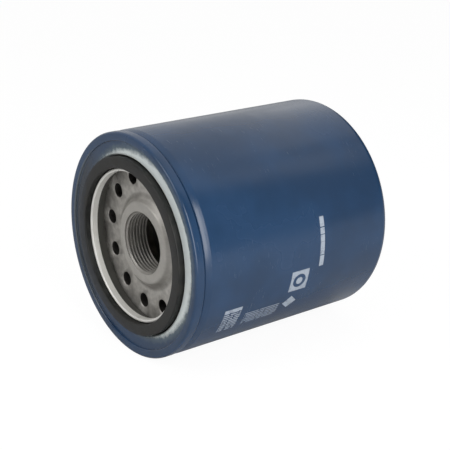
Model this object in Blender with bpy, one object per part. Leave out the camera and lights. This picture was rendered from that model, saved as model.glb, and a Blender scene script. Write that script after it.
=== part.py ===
"""Spin-on oil filter: a 93 mm drawn can with an M26 x 1.5 thread, lying on its side.

The filter's axis runs along +Y. The sealing end faces -Y and the closed end faces +Y.
Every size below is in millimetres. A "station" is a distance along the axis, counted
from the gasket's sealing face, and profiles are lists of (radius, station) points.
"""

import math

import bmesh
import bpy
from mathutils import Matrix, Vector

MM = 0.001
GAP = 0.3  # between neighbouring pieces

# Can and rolled seam
LENGTH = 101.5
CAN_RADIUS = 46.5
SHEET = 0.5
CAN_CORNER = 3.9
END_PANEL_RADIUS = 30.0
END_PANEL_DEPTH = 1.0
END_PANEL_SLOPE = 1.6
SEAM_TOP = 1.2
SEAM_BOTTOM = 5.4
SHOULDER = 7.8
NECKED_IN = 0.65  # how far the wall steps in beside the seam
CAN_HOOK = 1.7
COVER_HOOK = 1.8
CHUCK_WALL_RADIUS = 42.8
SEALANT_WIDTH = 1.6
SEALANT_THICKNESS = 0.4

# Gasket and its channel
GASKET_INNER = 32.1
GASKET_OUTER = 36.8
GASKET_HEIGHT = 9.2
LIP_RADIUS = 30.5
LIP_TOP = 2.2
HEM_DEPTH = 2.9
RING_TOP = 2.2

# Tapping plate, its thread and its inlet holes
PLATE_FRONT = 10.3
PLATE_THICKNESS = 3.4
PLATE_RADIUS = 43.0
COLLAR_TOP = 7.6
COLLAR_CREST = 14.7
COLLAR_BASE = 19.2
NECK_RADIUS = 16.5
NECK_END = 18.4
THREAD_MAJOR = 13.0
THREAD_MINOR = 12.19
THREAD_PITCH = 1.5
INLET_COUNT = 12
INLET_RADIUS = 3.0
INLET_CIRCLE = 27.1
INLET_PHASE = 8.1

# Filter element
ELEMENT_START = 20.0
ELEMENT_END = 84.9
END_CAP_RADIUS = 41.6
END_CAP_RIM = 4.0
COLLAR_INNER = 17.3
ADHESIVE = 1.7
TUBE_INNER = 18.1
TUBE_WALL = 0.6
PLEATS = 36
PLEAT_INNER = 19.7
PLEAT_OUTER = 40.2
PAPER = 0.6
CLIP_WIDTH = 4.0
CLIP_DEPTH = 2.4
TUBE_HOLE = 6.0
TUBE_HOLE_ROWS = 5
TUBE_HOLE_COLUMNS = 6

# Bypass valve
BYPASS_HOLE = 6.5
SEAT_THICKNESS = 0.7
SEAT_RIM_HEIGHT = 2.0
CAGE_RADIUS = 12.3
CAGE_FLOOR = 68.0
CAGE_WINDOW = 9.0
DISC_RADIUS = 9.8
DISC_THICKNESS = 0.7
SEAL_THICKNESS = 0.9
PIN_RADIUS = 2.0
PIN_COLLAR = 3.2
PIN_HEAD = 4.0
PIN_TAIL = 2.5  # beyond the cage's floor
BYPASS_COIL = 6.6
BYPASS_WIRE = 0.6

# Anti-drain valve
HUB_CLEARANCE = 0.4
HUB_WALL = 2.4
LIP_COVER = 2.5  # beyond the inlet holes
LIP_WIDTH = 1.0

# Support spring
SUPPORT_WIRE = 1.1
SUPPORT_COIL_LOW = 17.0
SUPPORT_COIL_HIGH = 21.0

# Roundness of turned pieces, in flats
OUTER_FLATS = 36
INNER_FLATS = 24


# ---------------------------------------------------------------- outlines


def arc(centre, radius, start, end, steps):
    """Points on an arc in the (radius, station) plane. Angles are in degrees."""
    angles = [math.radians(start + (end - start) * i / steps) for i in range(steps + 1)]
    return [(centre[0] + radius * math.cos(a), centre[1] + radius * math.sin(a)) for a in angles]


def both_sides(line, thickness):
    """The two lines that run half a thickness to either side of a centre line, mitred at its corners."""
    points = [Vector(p) for p in line]
    left, right = [], []
    for i, point in enumerate(points):
        before = point - points[i - 1] if i else points[1] - point
        after = points[i + 1] - point if i < len(points) - 1 else before
        across_before = Vector((-before.y, before.x)).normalized()
        across_after = Vector((-after.y, after.x)).normalized()
        mitre = (across_before + across_after) / (1 + across_before.dot(across_after))
        left.append(point + mitre * thickness / 2)
        right.append(point - mitre * thickness / 2)
    return left, right


def sheet(line, thickness=SHEET):
    """Closed outline of pressed sheet with this centre line."""
    left, right = both_sides(line, thickness)
    return left + right[::-1]


def block(inner, outer, low, high):
    """Closed outline of a plain ring."""
    return [(inner, low), (outer, low), (outer, high), (inner, high)]


# ---------------------------------------------------------------- solids


def closed(bm):
    bmesh.ops.recalc_face_normals(bm, faces=bm.faces)
    return bm


def turned(outline, flats):
    """A closed outline turned round the axis. Points on the axis become one vertex."""
    bm = bmesh.new()
    rings = []
    for radius, station in outline:
        count = flats if radius > 1e-6 else 1
        turns = [2 * math.pi * i / count for i in range(count)]
        rings.append([bm.verts.new((radius * math.cos(a), radius * math.sin(a), station)) for a in turns])
    for ring, following in zip(rings, rings[1:] + rings[:1]):
        if len(ring) == len(following) == 1:
            continue
        for i in range(flats):
            corners = [ring[i % len(ring)], ring[(i + 1) % len(ring)]]
            corners += [following[(i + 1) % len(following)], following[i % len(following)]]
            bm.faces.new(list(dict.fromkeys(corners)))
    return closed(bm)


def coil(section, radius_at, station_at, turns, steps_per_turn):
    """A section of (outward, along) offsets swept along a helix. The functions take a share from 0 to 1."""
    bm = bmesh.new()
    steps = round(turns * steps_per_turn)
    rings = []
    for i in range(steps + 1):
        share = i / steps
        angle = 2 * math.pi * turns * share
        outward = Vector((math.cos(angle), math.sin(angle), 0))
        middle = outward * radius_at(share) + Vector((0, 0, station_at(share)))
        rings.append([bm.verts.new(middle + outward * out + Vector((0, 0, along))) for out, along in section])
    for ring, following in zip(rings, rings[1:]):
        for k in range(len(section)):
            after = (k + 1) % len(section)
            bm.faces.new((ring[k], ring[after], following[after], following[k]))
    bm.faces.new(rings[0])
    bm.faces.new(rings[-1][::-1])
    return closed(bm)


def ribbon(line, thickness, low, high):
    """A strip standing on edge along a plan line, from one station to another."""
    left, right = both_sides(line, thickness)
    bm = bmesh.new()
    rungs = []
    for a, b in zip(left, right):
        ends = ((a, low), (b, low), (b, high), (a, high))
        rungs.append([bm.verts.new((p.x, p.y, station)) for p, station in ends])
    for rung, following in zip(rungs, rungs[1:]):
        for k in range(4):
            bm.faces.new((rung[k], rung[(k + 1) % 4], following[(k + 1) % 4], following[k]))
    bm.faces.new(rungs[0])
    bm.faces.new(rungs[-1][::-1])
    return closed(bm)


def prism(bm, width, height, length, sides, placing):
    """Adds a prism that stands on the placing matrix's XY plane, with flats to left and right."""
    stretch = 0.5 / math.cos(math.pi / sides)
    turns = [2 * math.pi * (k + 0.5) / sides for k in range(sides)]
    plan = [(width * stretch * math.cos(a), height * stretch * math.sin(a)) for a in turns]
    low = [bm.verts.new(placing @ Vector((x, y, 0))) for x, y in plan]
    high = [bm.verts.new(placing @ Vector((x, y, length))) for x, y in plan]
    bm.faces.new(low[::-1])
    bm.faces.new(high)
    for k in range(sides):
        after = (k + 1) % sides
        bm.faces.new((low[k], low[after], high[after], high[k]))


def outward_placing(angle, radius, station):
    """A frame whose Z points away from the axis and whose Y runs along it."""
    turn = Matrix.Rotation(math.radians(angle), 4, "Z")
    lay = Matrix(((0, 0, 1, 0), (1, 0, 0, 0), (0, 1, 0, 0), (0, 0, 0, 1)))
    return turn @ Matrix.Translation((radius, 0, station)) @ lay


# ---------------------------------------------------------------- scene


def clear_scene():
    for item in list(bpy.data.objects):
        bpy.data.objects.remove(item, do_unlink=True)


def make_material(name, colour, roughness, metallic):
    made = bpy.data.materials.new(name)
    made.use_nodes = True
    shader = made.node_tree.nodes["Principled BSDF"]
    shader.inputs["Base Color"].default_value = (*colour, 1)
    shader.inputs["Roughness"].default_value = roughness
    shader.inputs["Metallic"].default_value = metallic
    return made


def make_axis():
    """The filter's axis: what is modelled upright from station 0 lies along +Y, centred on the origin."""
    axis = bpy.data.objects.new("filter_axis", None)
    axis.location = (0, -LENGTH / 2 * MM, 0)
    axis.rotation_euler = (math.radians(-90), 0, 0)
    bpy.context.scene.collection.objects.link(axis)
    return axis


def add_part(name, bm, look, station=0.0):
    """Makes an object on the filter's axis, with its origin at the station."""
    bmesh.ops.translate(bm, verts=bm.verts, vec=(0, 0, -station))
    bmesh.ops.scale(bm, verts=bm.verts, vec=(MM, MM, MM))
    mesh = bpy.data.meshes.new(name)
    bm.to_mesh(mesh)
    bm.free()
    mesh.shade_smooth()
    mesh.set_sharp_from_angle(angle=math.radians(35))
    made = bpy.data.objects.new(name, mesh)
    made.parent = bpy.data.objects["filter_axis"]
    made.location = (0, 0, station * MM)
    bpy.context.scene.collection.objects.link(made)
    if look:
        mesh.materials.append(look)
    return made


def cut(target, name, bm):
    """Takes a cutter's shape out of the target."""
    cutter = add_part(name, bm, None)
    cutter.hide_render = True
    cutter.display_type = "WIRE"
    boolean = target.modifiers.new(name, "BOOLEAN")
    boolean.operation = "DIFFERENCE"
    boolean.object = cutter


# ---------------------------------------------------------------- housing


def add_canister(look):
    """Deep-drawn can, flanged outward over the retainer in the rolled seam."""
    middle = CAN_RADIUS - SHEET / 2
    end = LENGTH - SHEET / 2
    body_wall = CHUCK_WALL_RADIUS + 1.5 * SHEET + GAP
    hook_wall = body_wall + 2 * (SHEET + GAP)
    fold = SEAM_TOP + 2.5 * SHEET + 0.5
    line = [(0, end - END_PANEL_DEPTH), (END_PANEL_RADIUS, end - END_PANEL_DEPTH)]
    line += [(END_PANEL_RADIUS + END_PANEL_SLOPE, end)]
    line += arc((CAN_RADIUS - CAN_CORNER, LENGTH - CAN_CORNER), CAN_CORNER - SHEET / 2, 90, 0, 4)
    line += [(middle, SHOULDER + 1.0), (middle - 0.15, SHOULDER), (middle - 0.5, SHOULDER - 1.0)]
    line += [(middle - NECKED_IN, SEAM_BOTTOM + SHEET / 2 + 0.35)]
    line += [(body_wall + 0.25, SEAM_BOTTOM + SHEET / 2 + 0.25), (body_wall, SEAM_BOTTOM - 0.1)]
    line += [(body_wall, fold), (hook_wall, fold), (hook_wall, fold + CAN_HOOK)]
    add_part("canister", turned(sheet(line), OUTER_FLATS), look)


def add_retainer(look):
    """Seaming lid: hemmed lip, gasket channel, bare ring, and the outer layers of the rolled seam."""
    half = SHEET / 2
    hem = LIP_RADIUS + half
    channel_floor = GASKET_HEIGHT + GAP + half
    channel_wall = GASKET_OUTER + GAP + half
    chuck_wall = CHUCK_WALL_RADIUS + half
    cover_hook = chuck_wall + 2 * (SHEET + GAP)
    top = SEAM_TOP + half
    outer = CAN_RADIUS - half
    line = [(hem, LIP_TOP + HEM_DEPTH), (hem, LIP_TOP + half), (hem + SHEET + GAP, LIP_TOP + half)]
    line += [(GASKET_INNER + 0.7, channel_floor), (channel_wall, channel_floor)]
    line += [(channel_wall, RING_TOP + half + 0.5), (channel_wall + 0.5, RING_TOP + half)]
    line += [(chuck_wall - 0.5, RING_TOP + half), (chuck_wall, RING_TOP - 0.1)]
    line += [(chuck_wall, top + 0.3), (chuck_wall + 0.5, top), (outer - 1.1, top)]
    line += [(outer - 0.35, top + 0.2), (outer, top + 0.65)]
    line += [(outer, SEAM_BOTTOM - half), (cover_hook, SEAM_BOTTOM - half)]
    line += [(cover_hook, SEAM_BOTTOM - COVER_HOOK)]
    add_part("retainer", turned(sheet(line), OUTER_FLATS), look)


def add_seam_compound(look):
    """Sealing bead under the seam's top fold."""
    inner = CHUCK_WALL_RADIUS + SHEET + GAP + 0.2
    low = SEAM_TOP + SHEET + GAP
    outline = block(inner, inner + SEALANT_WIDTH, low, low + SEALANT_THICKNESS)
    add_part("seam_compound", turned(outline, OUTER_FLATS), look)


def add_gasket(look):
    """Moulded ring whose inner side widens towards the lip that holds it."""
    outline = [(GASKET_INNER, 0.4), (GASKET_INNER + 0.4, 0), (GASKET_OUTER - 0.4, 0)]
    outline += [(GASKET_OUTER, 0.4), (GASKET_OUTER, GASKET_HEIGHT)]
    outline += [(GASKET_INNER + 1.3, GASKET_HEIGHT), (GASKET_INNER, LIP_TOP + 0.6)]
    add_part("sealing_gasket", turned(outline, OUTER_FLATS), look)


def thread_cutter():
    """Sixty-degree thread form on a helix, running out through both ends of the neck."""
    start = COLLAR_TOP - 0.3
    length = NECK_END + 1.2 - start
    root = THREAD_MINOR - 0.19
    depth = THREAD_MAJOR - root
    crest = THREAD_PITCH / 16
    slope = depth * math.tan(math.radians(30))
    section = [(0, -crest - slope), (depth, -crest), (depth, crest), (0, crest + slope)]
    return coil(section, lambda share: root, lambda share: start + length * share, length / THREAD_PITCH, 18)


def inlet_cutters():
    bm = bmesh.new()
    for i in range(INLET_COUNT):
        turn = Matrix.Rotation(math.radians(INLET_PHASE + 360 * i / INLET_COUNT), 4, "Z")
        placing = turn @ Matrix.Translation((INLET_CIRCLE, 0, PLATE_FRONT - 2))
        prism(bm, 2 * INLET_RADIUS, 2 * INLET_RADIUS, PLATE_THICKNESS + 4, 12, placing)
    return bm


def add_tapping_plate(look):
    """Thick plate with a raised collar in front, a threaded neck behind and a circle of inlet holes."""
    back = PLATE_FRONT + PLATE_THICKNESS
    outline = [(THREAD_MINOR, COLLAR_TOP + 1.0), (THREAD_MINOR + 0.9, COLLAR_TOP + 0.1)]
    outline += [(COLLAR_CREST - 0.6, COLLAR_TOP), (COLLAR_CREST + 1.4, COLLAR_TOP + 0.1)]
    outline += [(COLLAR_BASE - 1.0, PLATE_FRONT - 0.5), (COLLAR_BASE, PLATE_FRONT)]
    outline += [(PLATE_RADIUS, PLATE_FRONT), (PLATE_RADIUS, back)]
    outline += [(NECK_RADIUS, back), (NECK_RADIUS, NECK_END), (THREAD_MINOR, NECK_END)]
    plate = add_part("tapping_plate", turned(outline, OUTER_FLATS), look)
    cut(plate, "thread_cutter", thread_cutter())
    cut(plate, "inlet_cutters", inlet_cutters())


def add_support_spring(look):
    """Conical coil that presses the element towards the tapping plate."""
    low = ELEMENT_END + 2 * GAP + SEAT_THICKNESS + SUPPORT_WIRE
    high = LENGTH - END_PANEL_DEPTH - SHEET - GAP - SUPPORT_WIRE

    def radius_at(share):
        return SUPPORT_COIL_LOW + (SUPPORT_COIL_HIGH - SUPPORT_COIL_LOW) * share

    def station_at(share):
        eased = share * share * (3 - 2 * share)
        return low + (high - low) * (share + eased) / 2

    wire = arc((0, 0), SUPPORT_WIRE, 0, 300, 5)
    add_part("support_spring", coil(wire, radius_at, station_at, 3, 18), look, high)


# ---------------------------------------------------------------- element


def add_end_cap(name, look, face, inward):
    """Tray that holds one end of the pleats. Inward is +1 or -1: which way its rim and collar point."""
    floor = face + inward * SHEET / 2
    rim = face + inward * END_CAP_RIM
    inner = COLLAR_INNER + SHEET / 2
    outer = END_CAP_RADIUS - SHEET / 2
    line = [(inner, rim), (inner, floor), (outer, floor), (outer, rim)]
    add_part(name, turned(sheet(line), INNER_FLATS), look, face)


def add_adhesive(name, look, face, inward):
    near = face + inward * (SHEET + GAP)
    far = near + inward * ADHESIVE
    outline = block(TUBE_INNER + TUBE_WALL + GAP, END_CAP_RADIUS - SHEET - GAP, near, far)
    add_part(name, turned(outline, INNER_FLATS), look, near)


def pleat_line():
    """Plan of the folded paper: an open strip whose two ends meet at angle 0."""
    pleat = 2 * math.pi / PLEATS
    crest_half, root_half = 0.17 * pleat, 0.19 * pleat
    points = [(PLEAT_OUTER, crest_half)]
    for i in range(PLEATS):
        if i:
            points += [(PLEAT_OUTER, i * pleat - crest_half), (PLEAT_OUTER, i * pleat + crest_half)]
        root = (i + 0.5) * pleat
        points += [(PLEAT_INNER, root - root_half), (PLEAT_INNER, root + root_half)]
    points += [(PLEAT_OUTER, 2 * math.pi - crest_half)]
    return [(radius * math.cos(a), radius * math.sin(a)) for radius, a in points]


def add_media(look):
    inset = SHEET + ADHESIVE + 2 * GAP
    low, high = ELEMENT_START + inset, ELEMENT_END - inset
    add_part("filter_media", ribbon(pleat_line(), PAPER, low, high), look, low)


def add_media_clip(look):
    """Folded metal strip that clamps the two ends of the paper."""
    back = PLEAT_OUTER + 1.0
    front = back - CLIP_DEPTH
    side = CLIP_WIDTH / 2
    line = [(front, -side), (back, -side), (back, side), (front, side)]
    low = ELEMENT_START + END_CAP_RIM + 0.4
    high = ELEMENT_END - END_CAP_RIM - 0.4
    add_part("media_clip", ribbon(line, SHEET, low, high), look, low)


def tube_hole_cutters():
    """Rows of holes clear of the end caps' rims. Every second row is turned by half a step."""
    bm = bmesh.new()
    low = ELEMENT_START + END_CAP_RIM + 2
    high = ELEMENT_END - END_CAP_RIM - 2
    pitch = (high - low) / TUBE_HOLE_ROWS
    for row in range(TUBE_HOLE_ROWS):
        for column in range(TUBE_HOLE_COLUMNS):
            angle = 360 * (column + 0.5 * (row % 2)) / TUBE_HOLE_COLUMNS
            placing = outward_placing(angle, TUBE_INNER - 3, low + pitch * (row + 0.5))
            prism(bm, TUBE_HOLE, TUBE_HOLE, TUBE_WALL + 5, 8, placing)
    return bm


def add_centre_tube(look):
    """Perforated tube that keeps the pleats from collapsing inwards."""
    low = ELEMENT_START + SHEET + GAP
    high = ELEMENT_END - SHEET - GAP
    outline = block(TUBE_INNER, TUBE_INNER + TUBE_WALL, low, high)
    tube = add_part("centre_tube", turned(outline, INNER_FLATS), look)
    cut(tube, "tube_hole_cutters", tube_hole_cutters())


# ---------------------------------------------------------------- bypass valve


def add_bypass_seat(look):
    """Dished plate over the element's closed end, with the bypass hole in its middle."""
    floor = ELEMENT_END + GAP + SEAT_THICKNESS / 2
    rim = SUPPORT_COIL_LOW + SUPPORT_WIRE + 2.2
    line = [(BYPASS_HOLE, floor), (rim, floor), (rim, floor + SEAT_RIM_HEIGHT)]
    add_part("bypass_seat", turned(sheet(line, SEAT_THICKNESS), INNER_FLATS), look, floor)


def cage_window_cutters():
    bm = bmesh.new()
    middle = (CAGE_FLOOR + ELEMENT_END) / 2
    for angle in range(45, 360, 90):
        prism(bm, CAGE_WINDOW, CAGE_WINDOW, 5, 4, outward_placing(angle, CAGE_RADIUS - 2.5, middle))
    return bm


def add_bypass_cage(look):
    """Windowed cup that hangs in the centre tube and carries the bypass spring."""
    flange = ELEMENT_END - SHEET / 2
    line = [(COLLAR_INNER - GAP, flange), (CAGE_RADIUS, flange)]
    line += [(CAGE_RADIUS, CAGE_FLOOR), (PIN_RADIUS + 0.5, CAGE_FLOOR)]
    cage = add_part("bypass_cage", turned(sheet(line), INNER_FLATS), look)
    cut(cage, "cage_window_cutters", cage_window_cutters())


def add_bypass_disc(look, low):
    outline = block(PIN_RADIUS + GAP, DISC_RADIUS, low, low + DISC_THICKNESS)
    add_part("bypass_disc", turned(outline, INNER_FLATS), look, low)


def add_bypass_seal(look, low):
    outline = block(PIN_RADIUS + GAP, DISC_RADIUS - 0.4, low, low + SEAL_THICKNESS)
    add_part("bypass_seal", turned(outline, INNER_FLATS), look, low)


def add_bypass_pin(look, disc_low, head_low):
    """Rivet that holds the seal on the disc and guides both in the cage's floor."""
    tail = CAGE_FLOOR - PIN_TAIL
    shoulder = disc_low - GAP
    collar = shoulder - 0.6
    outline = [(0, tail), (PIN_RADIUS, tail), (PIN_RADIUS, collar)]
    outline += [(PIN_COLLAR, collar), (PIN_COLLAR, shoulder), (PIN_RADIUS, shoulder)]
    outline += [(PIN_RADIUS, head_low), (PIN_HEAD, head_low), (PIN_HEAD - 0.4, head_low + 0.6)]
    outline += [(0, head_low + 0.8)]
    add_part("bypass_pin", turned(outline, 16), look, disc_low)


def add_bypass_spring(look, disc_low):
    low = CAGE_FLOOR + SHEET / 2 + GAP + BYPASS_WIRE
    high = disc_low - GAP - BYPASS_WIRE
    wire = arc((0, 0), BYPASS_WIRE, 0, 288, 4)
    spring = coil(wire, lambda share: BYPASS_COIL, lambda share: low + (high - low) * share, 5, 12)
    add_part("bypass_spring", spring, look, low)


def add_bypass_valve(steel, spring_steel, rubber):
    """Pieces that lift together: disc, seal and pin. The seal stops just short of the seat."""
    seal_low = ELEMENT_END - SEAL_THICKNESS
    disc_low = seal_low - GAP - DISC_THICKNESS
    head_low = ELEMENT_END + GAP
    add_bypass_seal(rubber, seal_low)
    add_bypass_disc(steel, disc_low)
    add_bypass_pin(steel, disc_low, head_low)
    add_bypass_spring(spring_steel, disc_low)


# ---------------------------------------------------------------- drain valve


def add_anti_drain_valve(look):
    """Rubber hub round the threaded neck, with a thin cone whose lip covers the inlet holes."""
    plate_back = PLATE_FRONT + PLATE_THICKNESS + GAP
    hub_inner = NECK_RADIUS + HUB_CLEARANCE
    hub_outer = hub_inner + HUB_WALL
    hub_end = ELEMENT_START - 0.4
    lip = INLET_CIRCLE + INLET_RADIUS + LIP_COVER
    edge = lip + LIP_WIDTH
    outline = [(hub_inner, plate_back), (hub_outer, plate_back), (hub_outer + 0.2, plate_back + 3.6)]
    outline += [(lip - 0.9, plate_back + 0.3), (lip, plate_back), (edge, plate_back)]
    outline += [(edge, plate_back + 1.0), (lip, plate_back + 1.4)]
    outline += [(hub_outer + 0.7, plate_back + 5.0), (hub_outer, hub_end), (hub_inner, hub_end)]
    add_part("anti_drain_valve", turned(outline, INNER_FLATS), look, plate_back)


def main():
    clear_scene()
    make_axis()
    paint = make_material("blue_paint", (0.035, 0.07, 0.16), 0.35, 0.3)
    zinc = make_material("zinc_plate", (0.52, 0.53, 0.52), 0.35, 1.0)
    plate_steel = make_material("phosphated_steel", (0.2, 0.19, 0.18), 0.5, 0.8)
    cap_steel = make_material("end_cap_steel", (0.55, 0.55, 0.54), 0.4, 1.0)
    tube_steel = make_material("tube_steel", (0.48, 0.48, 0.48), 0.45, 1.0)
    spring_steel = make_material("spring_steel", (0.3, 0.3, 0.31), 0.35, 1.0)
    black_rubber = make_material("black_rubber", (0.018, 0.018, 0.016), 0.6, 0.0)
    membrane = make_material("membrane_rubber", (0.02, 0.02, 0.02), 0.5, 0.0)
    sealant = make_material("seam_sealant", (0.6, 0.58, 0.5), 0.7, 0.0)
    plastisol = make_material("plastisol", (0.45, 0.4, 0.3), 0.6, 0.0)
    paper = make_material("filter_paper", (0.72, 0.55, 0.27), 0.9, 0.0)

    add_canister(paint)
    add_retainer(zinc)
    add_seam_compound(sealant)
    add_gasket(black_rubber)
    add_tapping_plate(plate_steel)
    add_support_spring(spring_steel)
    add_end_cap("lower_end_cap", cap_steel, ELEMENT_START, 1)
    add_end_cap("upper_end_cap", cap_steel, ELEMENT_END, -1)
    add_adhesive("lower_adhesive", plastisol, ELEMENT_START, 1)
    add_adhesive("upper_adhesive", plastisol, ELEMENT_END, -1)
    add_media(paper)
    add_media_clip(cap_steel)
    add_centre_tube(tube_steel)
    add_bypass_seat(cap_steel)
    add_bypass_cage(cap_steel)
    add_bypass_valve(cap_steel, spring_steel, black_rubber)
    add_anti_drain_valve(membrane)


main()
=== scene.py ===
"""Looks for the spin-on oil filter: fine surfaces, procedural materials, floor, light and camera.

The filter's axis runs along Y, and the sealing end faces -Y. Sizes below are in millimetres.
A "station" is a distance along the axis, counted from the gasket's sealing face, and an
outline is a list of (radius, station, fillet) corners.
"""

import math

import bmesh
import bpy
from mathutils import Matrix, Vector


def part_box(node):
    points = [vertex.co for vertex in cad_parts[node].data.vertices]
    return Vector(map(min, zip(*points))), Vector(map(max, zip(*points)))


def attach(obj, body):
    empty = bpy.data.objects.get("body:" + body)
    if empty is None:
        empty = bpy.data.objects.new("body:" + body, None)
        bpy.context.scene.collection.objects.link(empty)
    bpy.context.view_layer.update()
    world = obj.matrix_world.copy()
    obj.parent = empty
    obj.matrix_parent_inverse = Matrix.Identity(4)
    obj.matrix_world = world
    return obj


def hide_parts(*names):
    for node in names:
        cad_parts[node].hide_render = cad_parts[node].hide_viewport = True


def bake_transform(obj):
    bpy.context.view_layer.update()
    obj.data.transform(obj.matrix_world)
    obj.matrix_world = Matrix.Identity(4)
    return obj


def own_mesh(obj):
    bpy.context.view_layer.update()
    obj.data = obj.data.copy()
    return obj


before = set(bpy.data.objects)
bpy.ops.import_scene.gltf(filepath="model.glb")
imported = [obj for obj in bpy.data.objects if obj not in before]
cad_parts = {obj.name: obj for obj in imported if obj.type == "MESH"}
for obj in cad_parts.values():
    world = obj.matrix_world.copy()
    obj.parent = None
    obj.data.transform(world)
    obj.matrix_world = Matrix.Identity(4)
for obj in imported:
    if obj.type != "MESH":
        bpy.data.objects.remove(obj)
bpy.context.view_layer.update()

MM = 0.001
SEALING_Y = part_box("sealing_gasket")[0].y


def stations(node):
    """The stations where a CAD node starts and ends."""
    low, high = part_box(node)
    return (low.y - SEALING_Y) / MM, (high.y - SEALING_Y) / MM


LENGTH = stations("canister")[1]
CAN_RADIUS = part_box("canister")[1].x / MM

SHEET = 0.5
GAP = 0.3
FINE = 192
MEDIUM = 96

# Can, rolled seam and bare ring
CAN_CORNER = 3.9
END_PANEL_RADIUS = 30.0
END_PANEL_DEPTH = 1.0
SEAM_TOP = stations("retainer")[0]
SEAM_BOTTOM = 5.4
SHOULDER = 7.8
CHUCK_WALL_RADIUS = 42.8
RING_TOP = 2.2
LIP_RADIUS = 30.5
LIP_TOP = 2.2
HEM_DEPTH = 2.9

# Gasket
GASKET_INNER = 32.1
GASKET_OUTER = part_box("sealing_gasket")[1].x / MM
GASKET_HEIGHT = stations("sealing_gasket")[1]

# Tapping plate
PLATE_FRONT = 10.3
PLATE_THICKNESS = 3.4
PLATE_BACK = PLATE_FRONT + PLATE_THICKNESS
PLATE_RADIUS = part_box("tapping_plate")[1].x / MM
COLLAR_TOP, NECK_END = stations("tapping_plate")
COLLAR_CREST = 14.7
COLLAR_BASE = 19.2
NECK_RADIUS = 16.5
THREAD_MAJOR = 13.0
THREAD_MINOR = 12.19
THREAD_PITCH = 1.5
INLET_COUNT = 12
INLET_RADIUS = 3.0
INLET_CIRCLE = 27.1
INLET_FIRST = 21.9
INLET_CHAMFER = 0.15

# Filter element
ELEMENT_START = stations("lower_end_cap")[0]
ELEMENT_END = stations("upper_end_cap")[1]
END_CAP_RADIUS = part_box("lower_end_cap")[1].x / MM
END_CAP_RIM = 4.0
COLLAR_INNER = 17.3
TUBE_INNER = 18.1
TUBE_WALL = 0.6
TUBE_HOLE_RADIUS = 3.1
TUBE_HOLE_ROWS = 5
TUBE_HOLE_COLUMNS = 6
PLEATS = 36
PLEAT_INNER = 19.7
PLEAT_OUTER = 40.2
PLEAT_CREST_SHARE = 0.17
PLEAT_ROOT_SHARE = 0.19
PAPER = 0.6

# Valves and springs
SEAT_THICKNESS = 0.7
BYPASS_HOLE = 6.5
CAGE_RADIUS = 12.3
CAGE_FLOOR = 68.0
CAGE_WINDOW = 9.0
PIN_RADIUS = 2.0
BYPASS_COIL = 6.6
BYPASS_WIRE = 0.6
BYPASS_TURNS = 5
SUPPORT_WIRE = 1.1
SUPPORT_COIL_LOW = 17.0
SUPPORT_COIL_HIGH = 21.0
SUPPORT_TURNS = 3


# ---------------------------------------------------------------- outlines


def rounded(corners, closed=False, steps=6):
    """Turns (radius, station, fillet) corners into points, with an arc at each corner that has a fillet."""
    line = []
    for i, (radius, station, fillet) in enumerate(corners):
        corner = Vector((radius, station))
        at_end = not closed and i in (0, len(corners) - 1)
        if not fillet or at_end:
            line.append(corner)
            continue
        back = (Vector(corners[i - 1][:2]) - corner).normalized()
        onward = (Vector(corners[(i + 1) % len(corners)][:2]) - corner).normalized()
        half = back.angle(onward) / 2
        middle = corner + (back + onward).normalized() * fillet / math.sin(half)
        start = corner + back * fillet / math.tan(half) - middle
        sweep = start.angle_signed(corner + onward * fillet / math.tan(half) - middle)
        for k in range(steps + 1):
            line.append(middle + Matrix.Rotation(-sweep * k / steps, 2) @ start)
    return line


def both_sides(line, thickness):
    """The two lines half a thickness to either side of a centre line, mitred at its corners."""
    left, right = [], []
    for i, point in enumerate(line):
        before = point - line[i - 1] if i else line[1] - point
        after = line[i + 1] - point if i < len(line) - 1 else before
        across_before = Vector((-before.y, before.x)).normalized()
        across_after = Vector((-after.y, after.x)).normalized()
        mitre = (across_before + across_after) / (1 + across_before.dot(across_after))
        left.append(point + mitre * thickness / 2)
        right.append(point - mitre * thickness / 2)
    return left, right


def sheet(corners, thickness=SHEET, steps=6):
    """Closed outline of pressed sheet whose centre line has these corners."""
    left, right = both_sides(rounded(corners, steps=steps), thickness)
    return left + right[::-1]


# ---------------------------------------------------------------- meshes


def at(radius, angle, station):
    """World position of a point on the filter. The angle is in radians, from +X towards +Z."""
    return Vector((radius * math.cos(angle), 0, radius * math.sin(angle))) * MM + Vector(
        (0, SEALING_Y + station * MM, 0)
    )


def outward(angle):
    return Vector((math.cos(angle), 0, math.sin(angle)))


def finished(name, bm, sharp_degrees=38):
    """Turns a bmesh into a smooth-shaded object whose steeper edges stay sharp."""
    bmesh.ops.recalc_face_normals(bm, faces=bm.faces)
    mesh = bpy.data.meshes.new(name)
    bm.to_mesh(mesh)
    bm.free()
    mesh.shade_smooth()
    mesh.set_sharp_from_angle(angle=math.radians(sharp_degrees))
    made = bpy.data.objects.new(name, mesh)
    bpy.context.scene.collection.objects.link(made)
    return made


def turned_mesh(outline, flats):
    """A closed (radius, station) outline turned round the axis. Points on the axis become one vertex."""
    bm = bmesh.new()
    rings = []
    for radius, station in outline:
        count = flats if radius > 1e-6 else 1
        turns = [2 * math.pi * i / count for i in range(count)]
        rings.append([bm.verts.new(at(radius, a, station)) for a in turns])
    for ring, following in zip(rings, rings[1:] + rings[:1]):
        if len(ring) == len(following) == 1:
            continue
        for i in range(flats):
            corners = [ring[i % len(ring)], ring[(i + 1) % len(ring)]]
            corners += [following[(i + 1) % len(following)], following[i % len(following)]]
            bm.faces.new(list(dict.fromkeys(corners)))
    return bm


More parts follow.
